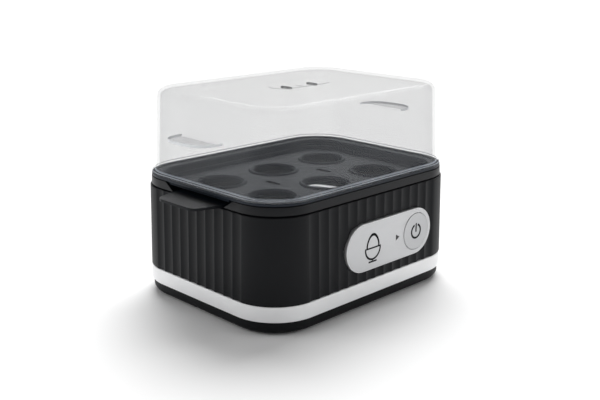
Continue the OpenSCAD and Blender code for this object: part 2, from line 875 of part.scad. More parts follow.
module lid() {
    inner_round = lid_round - lid_wall;
    lean = atan((lid_low_reach - lid_high_reach) / (lid_top - flange_z));
    outer_c = lid_reach(lid_top - lid_round) - lid_round;
    inner_top = lid_top - lid_wall;
    inner_c = lid_reach(inner_top - inner_round) - lid_wall - inner_round;
    outer = concat(
        [[0, lip_z], [lip_reach, lip_z], [lip_reach, flange_z], [flange_reach - 0.3, flange_z],
            [flange_reach, flange_z + 0.3], [flange_reach, flange_z + flange_t - 0.4],
            [flange_reach - 0.5, flange_z + flange_t]],
        arc(lid_reach(flange_z + 3) + flange_fillet, flange_z + flange_t + flange_fillet, flange_fillet,
            270, 180, 4),
        arc(outer_c, lid_top - lid_round, lid_round, lean, 90, 9),
        [[0, lid_top]]
    );
    cavity = concat(
        [[0, lip_z - 1], [lid_low_reach - lid_wall, lip_z - 1]],
        arc(inner_c, inner_top - inner_round, inner_round, lean, 90, 8),
        [[0, inner_top]]
    );
    color([0.86, 0.88, 0.9, 0.35]) difference() {
        union() {
            difference() {
                swept_solid(outer, lip_z, lid_top);
                swept_solid(cavity, lip_z - 1, inner_top);
            }
            for (mx = [0, 1]) mirror([mx, 0, 0])
                translate([core_x + lid_reach(grip_z) - 0.6, 0, grip_z])
                    linear_extrude(grip_t) polygon(half_oval(grip_reach, grip_half));
        }
        translate([0, 0, lid_top - recess_t]) linear_extrude(2) stadium(recess_l, recess_w);
        translate([0, 0, lid_top - recess_t - dimple_t])
            linear_extrude(2) rotate(90) stadium(dimple_l, dimple_w);
        for (s = [-1, 1])
            translate([s * vent_x, 0, inner_top - 2]) linear_extrude(6) rotate(90) stadium(vent_l, vent_w);
    }
}

base_pan();
rubber_feet();
base_screws();
trim_band();
ribbed_shell();
collar_tub();
plate_seal();
heating_plate();
heating_element();
element_terminals();
plate_strap();
strap_screws();
thermostat();
thermal_fuse();
fuse_sleeve();
control_panel();
panel_holder();
egg_mark();
indicator_lens();
indicator_led();
power_button();
power_symbol();
switch_plunger();
switch_body();
circuit_board();
board_screws();
buzzer();
terminal_block();
cord_gland();
gland_nut();
cord_clamp();
clamp_screws();
live_wire();
switched_wire();
link_wire();
fuse_wire();
neutral_wire();
earth_wire();
egg_tray();
lid();
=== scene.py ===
"""Looks of a six-egg electric egg cooker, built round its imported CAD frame.

Lengths in the shape functions are millimetres in the CAD frame, and become metres when a mesh
is made. Every plan outline is the same core rectangle grown by a "reach", as in the CAD model.
"""

import json
import math

import bmesh
import bpy
from mathutils import Matrix, Vector


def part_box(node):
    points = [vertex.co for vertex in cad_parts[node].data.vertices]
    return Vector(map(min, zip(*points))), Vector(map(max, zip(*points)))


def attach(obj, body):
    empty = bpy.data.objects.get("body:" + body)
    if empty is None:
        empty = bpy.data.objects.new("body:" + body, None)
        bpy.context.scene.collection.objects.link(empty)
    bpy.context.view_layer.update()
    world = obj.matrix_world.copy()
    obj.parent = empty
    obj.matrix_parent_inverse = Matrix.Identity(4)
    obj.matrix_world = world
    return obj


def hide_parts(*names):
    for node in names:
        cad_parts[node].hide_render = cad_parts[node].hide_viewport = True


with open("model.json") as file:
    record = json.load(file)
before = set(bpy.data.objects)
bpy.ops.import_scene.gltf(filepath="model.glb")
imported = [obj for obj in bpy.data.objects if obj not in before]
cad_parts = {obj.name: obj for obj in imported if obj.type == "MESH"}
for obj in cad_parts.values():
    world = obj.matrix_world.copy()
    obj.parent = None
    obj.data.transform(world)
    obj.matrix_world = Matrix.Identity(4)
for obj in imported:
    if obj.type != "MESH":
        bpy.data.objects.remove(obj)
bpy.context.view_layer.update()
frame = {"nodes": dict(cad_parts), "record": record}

MM = 0.001


def node_box(node):
    """Lowest and highest corner of a CAD node, in millimetres."""
    low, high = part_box(node)
    return low / MM, high / MM


# ---------- sizes read from the frame ----------

BAND_LOW, BAND_HIGH = node_box("trim_band")
FOOT_LOW, FOOT_HIGH = node_box("rubber_feet")
PANEL_LOW, PANEL_HIGH = node_box("control_panel")
BUTTON_LOW, BUTTON_HIGH = node_box("power_button")
GLAND_LOW, GLAND_HIGH = node_box("cord_gland")
PLATE_LOW, PLATE_HIGH = node_box("heating_plate")
CLAMP_LOW = node_box("cord_clamp")[0]
PAN_LOW, PAN_HIGH = node_box("base_pan")
TRAY_HIGH = node_box("egg_tray")[1]
LID_LOW = node_box("lid")[0].z
LID_TOP = node_box("lid")[1].z

BAND_REACH = 34.2
SHELL_TOP_REACH = 33.0
CORE_X = BAND_HIGH.x - BAND_REACH
CORE_Y = BAND_HIGH.y - BAND_REACH
FOOT_H = PAN_LOW.z
BAND_Z0 = BAND_LOW.z
BAND_Z1 = BAND_HIGH.z
SHELL_Z1 = node_box("ribbed_shell")[1].z
RING_Z1 = node_box("collar_tub")[1].z
BEAD_Z = TRAY_HIGH.z
LEDGE_Z = RING_Z1 - 0.9
TUB_FLOOR_Z = LEDGE_Z - 26.3
TUB_SLOPE_Z = LEDGE_Z - 10.3
SKIRT_Z0 = LEDGE_Z - 16.3
STRAP_POST_Z = node_box("plate_strap")[1].z


# ---------- outlines and sections ----------

def arc(cx, cy, r, a0, a1, steps):
    """Points on an arc, angles in degrees."""
    angles = [math.radians(a0 + (a1 - a0) * i / steps) for i in range(steps + 1)]
    return [(cx + r * math.cos(a), cy + r * math.sin(a)) for a in angles]


def plan(reach, steps=16):
    """Rounded rectangle: the core rectangle grown by reach, counterclockwise."""
    points = []
    for quarter, (sx, sy) in enumerate([(1, 1), (-1, 1), (-1, -1), (1, -1)]):
        points += arc(sx * CORE_X, sy * CORE_Y, reach, 90 * quarter, 90 * quarter + 90, steps)
    return points


def reach_of(point):
    """How far a point lies outside the core rectangle."""
    return math.hypot(max(0.0, abs(point.x) - CORE_X), max(0.0, abs(point.y) - CORE_Y))


def rounded(corners, closed=False, arc_step=15):
    """Polyline through (x, y, radius) corners, each corner turned into an arc of that radius."""
    count = len(corners)
    out = []
    for i, (x, y, radius) in enumerate(corners):
        at_end = not closed and i in (0, count - 1)
        if at_end or radius == 0:
            out.append((x, y))
            continue
        here = Vector((x, y))
        before = Vector(corners[i - 1][:2]) - here
        after = Vector(corners[(i + 1) % count][:2]) - here
        half = before.angle(after) / 2
        back = min(radius / math.tan(half), before.length * 0.49, after.length * 0.49)
        r = back * math.tan(half)
        centre = here + (before.normalized() + after.normalized()).normalized() * r / math.sin(half)
        start = here + before.normalized() * back - centre
        end = here + after.normalized() * back - centre
        turn = start.angle_signed(end)
        steps = max(2, math.ceil(abs(math.degrees(turn)) / arc_step))
        for k in range(steps + 1):
            point = centre + Matrix.Rotation(-turn * k / steps, 2) @ start
            out.append((point.x, point.y))
    return out


def circle_loop(x, y, r, steps=64):
    return arc(x, y, r, 0, 360, steps)[:-1]


def stadium_loop(x, y, length, height, steps=28):
    """Outline with two straight sides and two round ends, longest along x."""
    half = (length - height) / 2
    r = height / 2
    return arc(x + half, y, r, -90, 90, steps) + arc(x - half, y, r, 90, 270, steps)


def turned_stadium(x, y, length, width, steps=14):
    """The same, longest along y."""
    return [(x - (py - y), y + (px - x)) for px, py in stadium_loop(x, y, length, width, steps)]


def half_oval(base, out, half, power=3, steps=40):
    """Squared-off half oval that stands out by "out" from a base line at x = base."""
    points = []
    for i in range(steps + 1):
        a = math.radians(-90 + 180 * i / steps)
        c, s = abs(math.cos(a)), math.sin(a)
        y = half * math.copysign(abs(s) ** (2 / power), s)
        points.append((base + out * c ** (2 / power), y))
    return points


# ---------- meshes ----------

SMOOTH_BELOW = math.radians(32)
POLE_R = 1e-4


def new_piece(name, verts, faces):
    """Object with smooth shading, from vertices in millimetres."""
    mesh = bpy.data.meshes.new(name)
    mesh.from_pydata([(x * MM, y * MM, z * MM) for x, y, z in verts], [], faces)
    mesh.validate()
    obj = bpy.data.objects.new(name, mesh)
    bpy.context.scene.collection.objects.link(obj)
    tidy_mesh(obj)
    return obj


def tidy_mesh(obj):
    """Merges doubles, turns normals outwards, and shades smooth with sharp edges kept."""
    bm = bmesh.new()
    bm.from_mesh(obj.data)
    bmesh.ops.remove_doubles(bm, verts=bm.verts, dist=1e-6)
    bmesh.ops.dissolve_degenerate(bm, edges=bm.edges, dist=1e-6)
    bmesh.ops.recalc_face_normals(bm, faces=bm.faces)
    bm.to_mesh(obj.data)
    bm.free()
    obj.data.polygons.foreach_set("use_smooth", [True] * len(obj.data.polygons))
    obj.data.set_sharp_from_angle(angle=SMOOTH_BELOW)
    obj.data.update()


def bake_modifiers(obj):
    """Replaces the object's mesh by the mesh that its modifiers make."""
    graph = bpy.context.evaluated_depsgraph_get()
    mesh = bpy.data.meshes.new_from_object(obj.evaluated_get(graph))
    obj.modifiers.clear()
    old, obj.data = obj.data, mesh
    bpy.data.meshes.remove(old)
    tidy_mesh(obj)


def loft(name, rings, closed=False):
    """Skin over rings of equal point counts. Open lofts are closed by a flat face at each end."""
    count = len(rings[0])
    verts = [point for ring in rings for point in ring]
    faces = []
    last = len(rings) if closed else len(rings) - 1
    for i in range(last):
        a, b = i * count, ((i + 1) % len(rings)) * count
        for k in range(count):
            n = (k + 1) % count
            faces.append((a + k, a + n, b + n, b + k))
    if not closed:
        faces.append(tuple(reversed(range(count))))
        faces.append(tuple(range((len(rings) - 1) * count, len(rings) * count)))
    return new_piece(name, verts, faces)


def swept(name, section, closed=False, steps=16):
    """Section of (reach, z) points carried round the core rectangle."""
    return loft(name, [[(x, y, z) for x, y in plan(r, steps)] for r, z in section], closed)


def lathe(name, section, closed=False, steps=96):
    """Section of (radius, z) points turned about the z axis; a radius of 0 becomes a pole."""
    rings = [[(x, y, z) for x, y in circle_loop(0, 0, max(r, POLE_R), steps)] for r, z in section]
    return loft(name, rings, closed)


def prism(name, loops, z0, z1, edge=0.0, segments=3):
    """Flat shape between two heights, its edges rounded by "edge". Later loops are holes."""
    bm = bmesh.new()
    edges = []
    for loop in loops:
        verts = [bm.verts.new((x * MM, y * MM, z0 * MM)) for x, y in loop]
        edges += [bm.edges.new((verts[i], verts[(i + 1) % len(verts)])) for i in range(len(verts))]
    bmesh.ops.triangle_fill(bm, use_beauty=True, use_dissolve=False, edges=edges)
    grown = bmesh.ops.extrude_face_region(bm, geom=list(bm.faces), use_keep_orig=True)
    moved = [v for v in grown["geom"] if isinstance(v, bmesh.types.BMVert)]
    bmesh.ops.translate(bm, verts=moved, vec=(0, 0, (z1 - z0) * MM))
    mesh = bpy.data.meshes.new(name)
    bm.to_mesh(mesh)
    bm.free()
    obj = bpy.data.objects.new(name, mesh)
    bpy.context.scene.collection.objects.link(obj)
    tidy_mesh(obj)
    if edge:
        round_edges(obj, edge, segments)
    return obj


def round_edges(obj, width, segments=3, angle=40):
    """Rounds every edge sharper than the angle."""
    bevel = obj.modifiers.new("edge", "BEVEL")
    bevel.width = width * MM
    bevel.segments = segments
    bevel.limit_method = "ANGLE"
    bevel.angle_limit = math.radians(angle)
    bake_modifiers(obj)
    return obj


def place(obj, matrix):
    """Moves the mesh itself, so that the object stays at the origin."""
    obj.data.transform(matrix)
    tidy_mesh(obj)
    return obj


def move(x, y, z):
    return Matrix.Translation((x * MM, y * MM, z * MM))


def facing_front(x, depth, z):
    """Takes a shape drawn in the XY plane to the front: its z axis then points along -Y."""
    return move(x, -depth, z) @ Matrix.Rotation(math.radians(90), 4, "X")


def facing_rear(x, depth, z):
    """The same for the rear: the shape's z axis points along +Y."""
    return move(x, depth, z) @ Matrix.Rotation(math.radians(-90), 4, "X")


def mirrored(obj, name):
    """Copy of a piece, mirrored in the YZ plane."""
    copy = bpy.data.objects.new(name, obj.data.copy())
    bpy.context.scene.collection.objects.link(copy)
    return place(copy, Matrix.Diagonal((-1, 1, 1, 1)))


def combine(obj, tools, operation="DIFFERENCE"):
    """Exact boolean of a piece with several tools, which are used up."""
    for tool in tools:
        modifier = obj.modifiers.new("combine", "BOOLEAN")
        modifier.operation = operation
        modifier.solver = "EXACT"
        modifier.object = tool
    bake_modifiers(obj)
    for tool in tools:
        mesh = tool.data
        bpy.data.objects.remove(tool)
        bpy.data.meshes.remove(mesh)
    return obj


# ---------- materials ----------

def nodes_of(name):
    """New material with its node tree, shader and a texture coordinate in object space."""
    material = bpy.data.materials.new(name)
    material.use_nodes = True
    tree = material.node_tree
    shader = tree.nodes["Principled BSDF"]
    coords = tree.nodes.new("ShaderNodeTexCoord").outputs["Object"]
    return material, tree, shader, coords


def noise(tree, coords, scale, detail=2.0, stretch=(1, 1, 1)):
    """Noise value between 0 and 1, with features about 1/scale metres wide."""
    mapping = tree.nodes.new("ShaderNodeMapping")
    mapping.inputs["Scale"].default_value = stretch
    tree.links.new(coords, mapping.inputs["Vector"])
    texture = tree.nodes.new("ShaderNodeTexNoise")
    texture.inputs["Scale"].default_value = scale
    texture.inputs["Detail"].default_value = detail
    tree.links.new(mapping.outputs["Vector"], texture.inputs["Vector"])
    return texture.outputs["Fac"]


def spread(tree, value, low, high):
    """Maps a noise value to the range from low to high."""
    node = tree.nodes.new("ShaderNodeMapRange")
    node.inputs["From Min"].default_value = 0.3
    node.inputs["From Max"].default_value = 0.7
    node.inputs["To Min"].default_value = low
    node.inputs["To Max"].default_value = high
    tree.links.new(value, node.inputs["Value"])
    return node.outputs["Result"]


MIX_FACTOR, MIX_FIRST, MIX_SECOND, MIX_COLOUR = 0, 6, 7, 2  # sockets of a Mix node for colours


def two_tone(tree, value, first, second):
    """Colour that runs from first to second with a noise value."""
    node = tree.nodes.new("ShaderNodeMix")
    node.data_type = "RGBA"
    node.inputs[MIX_FIRST].default_value = (*first, 1)
    node.inputs[MIX_SECOND].default_value = (*second, 1)
    tree.links.new(spread(tree, value, 0, 1), node.inputs[MIX_FACTOR])
    return node.outputs[MIX_COLOUR]


def shade(colour, factor):
    return tuple(min(1, c * factor) for c in colour)


def finish(name, colour, roughness, metallic=0.0, specular=0.5, grain=2600, grain_depth=0.02,
           stretch=(1, 1, 1), tone=0.06, rough_span=0.05):
    """Solid finish: a colour that changes slowly over the part, and a fine grain in its gloss.

    The grain also stands in the surface: grain is its features per metre, grain_depth their
    height in millimetres.
    """
    material, tree, shader, coords = nodes_of(name)
    slow = noise(tree, coords, 34, 3)
    fine = noise(tree, coords, grain, 2, stretch)
    tree.links.new(two_tone(tree, slow, shade(colour, 1 - tone), shade(colour, 1 + tone)),
                   shader.inputs["Base Color"])
    tree.links.new(spread(tree, fine, roughness - rough_span, roughness + rough_span),
                   shader.inputs["Roughness"])
    bump = tree.nodes.new("ShaderNodeBump")
    bump.inputs["Distance"].default_value = grain_depth * MM
    bump.inputs["Strength"].default_value = 1.0
    tree.links.new(fine, bump.inputs["Height"])
    tree.links.new(bump.outputs["Normal"], shader.inputs["Normal"])
    shader.inputs["Metallic"].default_value = metallic
    shader.inputs["Specular IOR Level"].default_value = specular
    return material


def clear_plastic(name, tint, roughness, face_alpha, edge_alpha, grain_depth):
    """Thin clear plastic: it shows most where the wall is seen edge on."""
    material, tree, shader, coords = nodes_of(name)
    slow = noise(tree, coords, 22, 2)
    fine = noise(tree, coords, 420, 2)
    tree.links.new(two_tone(tree, slow, shade(tint, 0.97), shade(tint, 1.02)),
                   shader.inputs["Base Color"])
    tree.links.new(spread(tree, fine, roughness * 0.8, roughness * 1.25),
                   shader.inputs["Roughness"])
    bump = tree.nodes.new("ShaderNodeBump")
    bump.inputs["Distance"].default_value = grain_depth * MM
    tree.links.new(fine, bump.inputs["Height"])
    tree.links.new(bump.outputs["Normal"], shader.inputs["Normal"])
    facing = tree.nodes.new("ShaderNodeLayerWeight")
    facing.inputs["Blend"].default_value = 0.2
    alpha = tree.nodes.new("ShaderNodeMapRange")
    alpha.inputs["To Min"].default_value = face_alpha
    alpha.inputs["To Max"].default_value = edge_alpha
    tree.links.new(facing.outputs["Facing"], alpha.inputs["Value"])
    tree.links.new(alpha.outputs["Result"], shader.inputs["Alpha"])
    shader.inputs["IOR"].default_value = 1.45
    return material


BLACK = (0.0050, 0.0056, 0.0070)
FINISHES = {
    "shell_black": dict(colour=BLACK, roughness=0.48, specular=0.155, grain=3200,
                        grain_depth=0.006),
    "base_black": dict(colour=shade(BLACK, 0.8), roughness=0.52, specular=0.15, grain=3000,
                       grain_depth=0.006),
    "collar_black": dict(colour=shade(BLACK, 1.05), roughness=0.4, specular=0.2, grain=3400,
                         grain_depth=0.0015),
    "band_silver": dict(colour=(0.92, 0.925, 0.935), roughness=0.34, metallic=0.1, grain=1800,
                        grain_depth=0.003, stretch=(0.06, 0.06, 1), tone=0.03),
    "panel_silver": dict(colour=(0.56, 0.565, 0.575), roughness=0.42, metallic=0.55, grain=5200,
                         grain_depth=0.002, tone=0.02),
    # panel's rounded rim: a lighter copy of the panel silver, a painted highlight
    "panel_edge_painted_highlight": dict(colour=(0.86, 0.865, 0.875), roughness=0.34, grain=5200, grain_depth=0.001,
                       tone=0.02),
    "button_silver": dict(colour=(0.49, 0.495, 0.505), roughness=0.38, metallic=0.5, grain=5200,
                          grain_depth=0.002, tone=0.02),
    "print_dark": dict(colour=(0.005, 0.005, 0.0055), roughness=0.7, specular=0.1, grain=4000,
                       grain_depth=0.002),
    "lens_smoke": dict(colour=(0.02, 0.02, 0.022), roughness=0.12, specular=0.6, grain=900,
                       grain_depth=0.001),
    "holder_black": dict(colour=(0.006, 0.006, 0.0065), roughness=0.6, specular=0.3),
    "tray_slate": dict(colour=(0.0068, 0.0098, 0.0150), roughness=0.55, specular=0.07, grain=3400,
                       grain_depth=0.0015, rough_span=0.03),
    # tray rim: a glossier finish, and a paler copy of the tray slate that is a painted highlight
    "tray_rim_gloss_and_painted_highlight": dict(colour=(0.009, 0.013, 0.021), roughness=0.38, specular=0.2, grain=3400,
                     grain_depth=0.001, rough_span=0.03),
    "tray_handle": dict(colour=shade(BLACK, 1.5), roughness=0.5, specular=0.12, grain=2600,
                        grain_depth=0.004),
    "rubber": dict(colour=(0.02, 0.02, 0.021), roughness=0.8, specular=0.3, grain=1500,
                   grain_depth=0.02),
    "zinc": dict(colour=(0.62, 0.63, 0.65), roughness=0.34, metallic=1.0, grain=3000,
                 grain_depth=0.004),
    "plate_steel": dict(colour=(0.5, 0.51, 0.52), roughness=0.44, metallic=1.0, grain=900,
                        grain_depth=0.002, stretch=(1, 0.05, 1), tone=0.05),
    "element_sheath": dict(colour=(0.16, 0.145, 0.13), roughness=0.55, metallic=0.7, grain=700,
                           grain_depth=0.02, tone=0.3),
    "strap_steel": dict(colour=(0.5, 0.51, 0.52), roughness=0.42, metallic=1.0, grain=600,
                        grain_depth=0.006, tone=0.12),
    "seal_red": dict(colour=(0.38, 0.07, 0.05), roughness=0.6, grain=1800, grain_depth=0.01),
    "ceramic": dict(colour=(0.72, 0.68, 0.58), roughness=0.7, grain=1600, grain_depth=0.02),
    "fuse_metal": dict(colour=(0.68, 0.69, 0.7), roughness=0.35, metallic=1.0),
    "sleeve_glass": dict(colour=(0.72, 0.69, 0.6), roughness=0.85, grain=1100, grain_depth=0.12,
                         stretch=(1, 3, 3)),
    "brass": dict(colour=(0.68, 0.5, 0.2), roughness=0.32, metallic=1.0),
    "led_diffuse": dict(colour=(0.62, 0.8, 0.62), roughness=0.25, grain=900, grain_depth=0.002),
    "switch_green": dict(colour=(0.05, 0.2, 0.12), roughness=0.45),
    "switch_black": dict(colour=(0.02, 0.02, 0.022), roughness=0.5),
    "board_green": dict(colour=(0.02, 0.14, 0.05), roughness=0.3, grain=260, grain_depth=0.01,
                        stretch=(1, 1, 0.2), tone=0.2),
    "nylon": dict(colour=(0.75, 0.72, 0.65), roughness=0.5),
    "gland_black": dict(colour=(0.014, 0.014, 0.015), roughness=0.5, grain=2200, grain_depth=0.01),
    "wire_brown": dict(colour=(0.2, 0.08, 0.03), roughness=0.5),
    "wire_white": dict(colour=(0.68, 0.66, 0.6), roughness=0.55),
    "wire_blue": dict(colour=(0.04, 0.15, 0.45), roughness=0.5),
    "wire_earth": dict(colour=(0.2, 0.42, 0.05), roughness=0.5),
}
# tint, roughness, how much shows face on, how much shows edge on, grain depth in millimetres
CLEAR_PLASTICS = {
    "lid_clear": ((0.20, 0.21, 0.225), 0.09, 0.115, 0.26, 0.002),
    "lid_frosted": ((0.74, 0.765, 0.80), 0.32, 0.62, 0.9, 0.006),
    # flat top: a darker copy of the clear lid's tint, painted shade
    "lid_top": ((0.12, 0.122, 0.126), 0.3, 0.12, 0.2, 0.002),
    # flange edges: a paler, more opaque copy of the clear lid, a painted highlight
    "lid_rim_painted_highlight": ((0.62, 0.68, 0.76), 0.12, 0.3, 0.8, 0.002),
    # vent sides: a dark, nearly opaque copy of the clear lid, painted shade in the slits
    "lid_slot_painted_shade": ((0.05, 0.052, 0.056), 0.2, 0.72, 0.92, 0.002),
}
LOOKS = {name: finish(name, **values) for name, values in FINISHES.items()}
LOOKS.update({name: clear_plastic(name, *values) for name, values in CLEAR_PLASTICS.items()})


def dress(obj, slot, body, *nodes):
    """Gives a new piece the material named by slot and its body, and hides the CAD nodes that it
    stands in for.
    """
    obj.data.materials.clear()
    obj.data.materials.append(LOOKS[slot])
    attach(obj, body)
    if nodes:
        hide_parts(*nodes)
    return obj


# ---------- base, band and feet ----------

CENTRE_REACH = 8.0  # where the section of a floor starts; one flat face closes its middle
CUT = 2.0  # how far a cutting tool runs past the surface that it cuts

PAN_REACH = 33.0
PAN_ROUND = 6.0
PAN_UPSTAND = 31.0
PAN_INNER = 28.4
PAN_FLOOR = 2.5
BAND_SEAM = 0.05
BAND_INNER = 31.2
BAND_ROUND = 0.45
POST_REACH = 24.0
POST_X = CORE_X + POST_REACH * math.cos(math.radians(45))
POST_Y = CORE_Y + POST_REACH * math.sin(math.radians(45))
BOSS_Z1 = FOOT_H + 15.4
BOSS_R = 4.5
SCREW_SEAT_Z = FOOT_H + 4.4
WELL_R = 3.6
SHANK_R = 1.8
CLAMP_X = CLAMP_LOW.x + 13
CLAMP_Y = CLAMP_LOW.y + 4
CLAMP_SCREW_DX = 9
CLAMP_BOSS_R = 3.5
PILOT_R = 1.35
FOOT_R = 7.0
FOOT_POCKET_R = FOOT_R + 0.1


def at_corners(x, y):
    return [(sx * x, sy * y) for sx in (-1, 1) for sy in (-1, 1)]


def tube(name, x, y, r, z0, z1, steps=48):
    return prism(name, [circle_loop(x, y, r, steps)], z0, z1)


def tubes(name, places, r, z0, z1, steps=48):
    """One cylinder at each (x, y) place."""
    return [tube(name, x, y, r, z0, z1, steps) for x, y in places]


def join(objects):
    """Joins separate solids into the first one's mesh."""
    bm = bmesh.new()
    for obj in objects:
        bm.from_mesh(obj.data)
    bm.to_mesh(objects[0].data)
    bm.free()
    for obj in objects[1:]:
        mesh = obj.data
        bpy.data.objects.remove(obj)
        bpy.data.meshes.remove(mesh)
    tidy_mesh(objects[0])
    return objects[0]


def make_base_pan():
    floor_z = FOOT_H + PAN_FLOOR
    shoulder_z = BAND_Z0 - BAND_SEAM
    section = rounded([
        (CENTRE_REACH, FOOT_H, 0), (PAN_REACH, FOOT_H, PAN_ROUND), (PAN_REACH, shoulder_z, 0.3),
        (PAN_UPSTAND, shoulder_z, 0), (PAN_UPSTAND, PAN_HIGH.z, 0.3), (PAN_INNER, PAN_HIGH.z, 0.3),
        (PAN_INNER, floor_z, 1.0), (CENTRE_REACH, floor_z, 0),
    ], arc_step=9)
    pan = swept("base_pan_moulding", section)
    posts = at_corners(POST_X, POST_Y)
    clamp_screws = [(CLAMP_X + dx, CLAMP_Y) for dx in (-CLAMP_SCREW_DX, CLAMP_SCREW_DX)]
    bosses = tubes("boss", posts, BOSS_R, floor_z - 1, BOSS_Z1)
    bosses += tubes("clamp_boss", clamp_screws, CLAMP_BOSS_R, floor_z - 1, floor_z + 8)
    combine(pan, bosses, "UNION")
    feet_at = at_corners(FOOT_HIGH.x - FOOT_R, FOOT_HIGH.y - FOOT_R)
    holes = tubes("well", posts, WELL_R, FOOT_H - CUT, SCREW_SEAT_Z)
    holes += tubes("shank", posts, SHANK_R, SCREW_SEAT_Z - CUT, BOSS_Z1 + CUT)
    holes += tubes("pocket", feet_at, FOOT_POCKET_R, FOOT_H - CUT, FOOT_H + 1.2)
    holes += tubes("pilot", clamp_screws, PILOT_R, floor_z + 1, floor_z + 12)
    combine(pan, holes)
    dress(pan, "base_black", "body", "base_pan")

    pad = rounded([
        (0, FOOT_LOW.z, 0), (FOOT_R, FOOT_LOW.z, 0.6), (FOOT_R, FOOT_HIGH.z, 0.1),
        (0, FOOT_HIGH.z, 0),
    ])
    feet = None
    for x, y in feet_at:
        foot = place(lathe("foot", pad, steps=64), move(x, y, 0))
        feet = foot if feet is None else join([feet, foot])
    feet.name = "rubber_foot_pads"
    dress(feet, "rubber", "body", "rubber_feet")


def make_band():
    section = rounded([
        (BAND_INNER, BAND_Z0, 0), (BAND_REACH, BAND_Z0, BAND_ROUND),
        (BAND_REACH, BAND_Z1, BAND_ROUND), (BAND_INNER, BAND_Z1, 0),
    ], arc_step=18)
    band = swept("trim_band_strip", section, closed=True, steps=24)
    dress(band, "band_silver", "body", "trim_band")


# ---------- ribbed shell ----------

FLUTE_CHORD = 8.9
FLUTE_DEPTH = 0.9
FLUTE_R = ((FLUTE_CHORD / 2) ** 2 + FLUTE_DEPTH ** 2) / (2 * FLUTE_DEPTH)
FLUTES = {"long": (14, 9.2), "short": (10, 9.05)}  # count and pitch on each kind of side
SHELL_WALL = 2.4
SHELL_ROUND = 0.6

PANEL_LENGTH = 90.0
PANEL_HEIGHT = 34.0
PANEL_WINDOW_GAP = 1.2
GLAND_SPOT_R = 10.5
GLAND_HOLE_R = 6.3
GLAND_FLANGE = 1.6


def side_stations(kind, steps=12):
    """Positions along one side, from flute edge to flute edge, and the flute's depth there."""
    count, pitch = FLUTES[kind]
    stations = []
    for i in range(count):
        middle = (i - (count - 1) / 2) * pitch
        for k in range(steps + 1):
            u = FLUTE_CHORD / 2 * (2 * k / steps - 1)
            depth = math.sqrt(FLUTE_R ** 2 - u ** 2) - (FLUTE_R - FLUTE_DEPTH)
            stations.append((middle + u, max(0.0, depth)))
    return stations


def fluted_ring(reach, z, fluted=True, corner_steps=18):
    """Closed ring at one height; each side's flutes run a little into the corner arcs."""
    sides = [("long", CORE_X, CORE_Y, 0), ("short", CORE_Y, CORE_X, 90),
             ("long", CORE_X, CORE_Y, 180), ("short", CORE_Y, CORE_X, 270)]
    ring = []
    for index, (kind, along, across, turn) in enumerate(sides):
        local = []
        for u, depth in side_stations(kind):
            over = max(0.0, abs(u) - along)
            fall = reach - math.sqrt(max(0.0, reach ** 2 - over ** 2))
            local.append((u, -(across + reach) + max(fall, depth if fluted else 0.0)))
        next_kind, next_along = sides[(index + 1) % 4][:2]
        past = side_stations(kind)[-1][0] - along
        past_next = side_stations(next_kind)[-1][0] - next_along
        first = -90 + math.degrees(math.asin(past / reach))
        last = -math.degrees(math.asin(past_next / reach))
        local += arc(along, -across, reach, first, last, corner_steps)[1:-1]
        c, s = round(math.cos(math.radians(turn))), round(math.sin(math.radians(turn)))
        ring += [(c * x - s * y, s * x + c * y, z) for x, y in local]
    return ring


def make_shell():
    wall = rounded([
        (BAND_REACH - SHELL_WALL, BAND_Z1, 0), (BAND_REACH, BAND_Z1, SHELL_ROUND),
        (SHELL_TOP_REACH, SHELL_Z1, SHELL_ROUND), (SHELL_TOP_REACH - SHELL_WALL, SHELL_Z1, 0),
    ], arc_step=22)
    inside = BAND_REACH - SHELL_WALL + 0.01
    rings = [fluted_ring(reach, z, fluted=reach > inside) for reach, z in wall]
    shell = loft("ribbed_shell_wall", rings, closed=True)

    centre = (PANEL_LOW + PANEL_HIGH) / 2
    outline = stadium_loop(0, 0, PANEL_LENGTH + PANEL_WINDOW_GAP, PANEL_HEIGHT + PANEL_WINDOW_GAP)
    at_panel = facing_front(centre.x, -PANEL_LOW.y, centre.z)
    window = place(prism("window", [outline], -8, 8), at_panel)
    gland = (GLAND_LOW + GLAND_HIGH) / 2
    at_gland = facing_rear(gland.x, GLAND_HIGH.y - GLAND_FLANGE, gland.z)
    spot = place(prism("spot", [circle_loop(0, 0, GLAND_SPOT_R)], 0, 6), at_gland)
    hole = place(prism("hole", [circle_loop(0, 0, GLAND_HOLE_R)], -8, 6), at_gland)
    combine(shell, [window, spot, hole])
    dress(shell, "shell_black", "body", "ribbed_shell")


# ---------- collar and tub ----------

RING_SEAM = 0.8
RING_LOW_OUT = 32.1
RING_HIGH_OUT = 31.8
RING_IN = 30.4
SKIRT_OUT = 30.3
SKIRT_IN = 28.3
TUB_OUT = 26.1
TUB_IN = 23.9
TUB_FLOOR_OUT = 12.9
TUB_FLOOR_IN = 12.0
TUB_SHEET = 2.2
TUB_LEDGE_SHEET = 2.0
NOTCH_LOW, NOTCH_HIGH = 25.2, 39.4  # half widths at the foot and at the top
CHEEK_LOW, CHEEK_HIGH = 27.4, 41.6
PLATE_HOLE_R = 46.0
TUB_POST_R = 3.6
TUB_PILOT_R = 1.65
STRAP_POST_X = 58
STRAP_POST_R = 4


def notch_prism(low, high, z0, z1, x0, x1):
    """End notch in the collar: a trapezium, wider at the top, run along X."""
    tool = prism("notch", [[(-low, z0), (low, z0), (high, z1), (-high, z1)]], x0, x1)
    turn = Matrix(((0, 0, 1, 0), (1, 0, 0, 0), (0, 1, 0, 0), (0, 0, 0, 1)))
    return place(tool, turn)


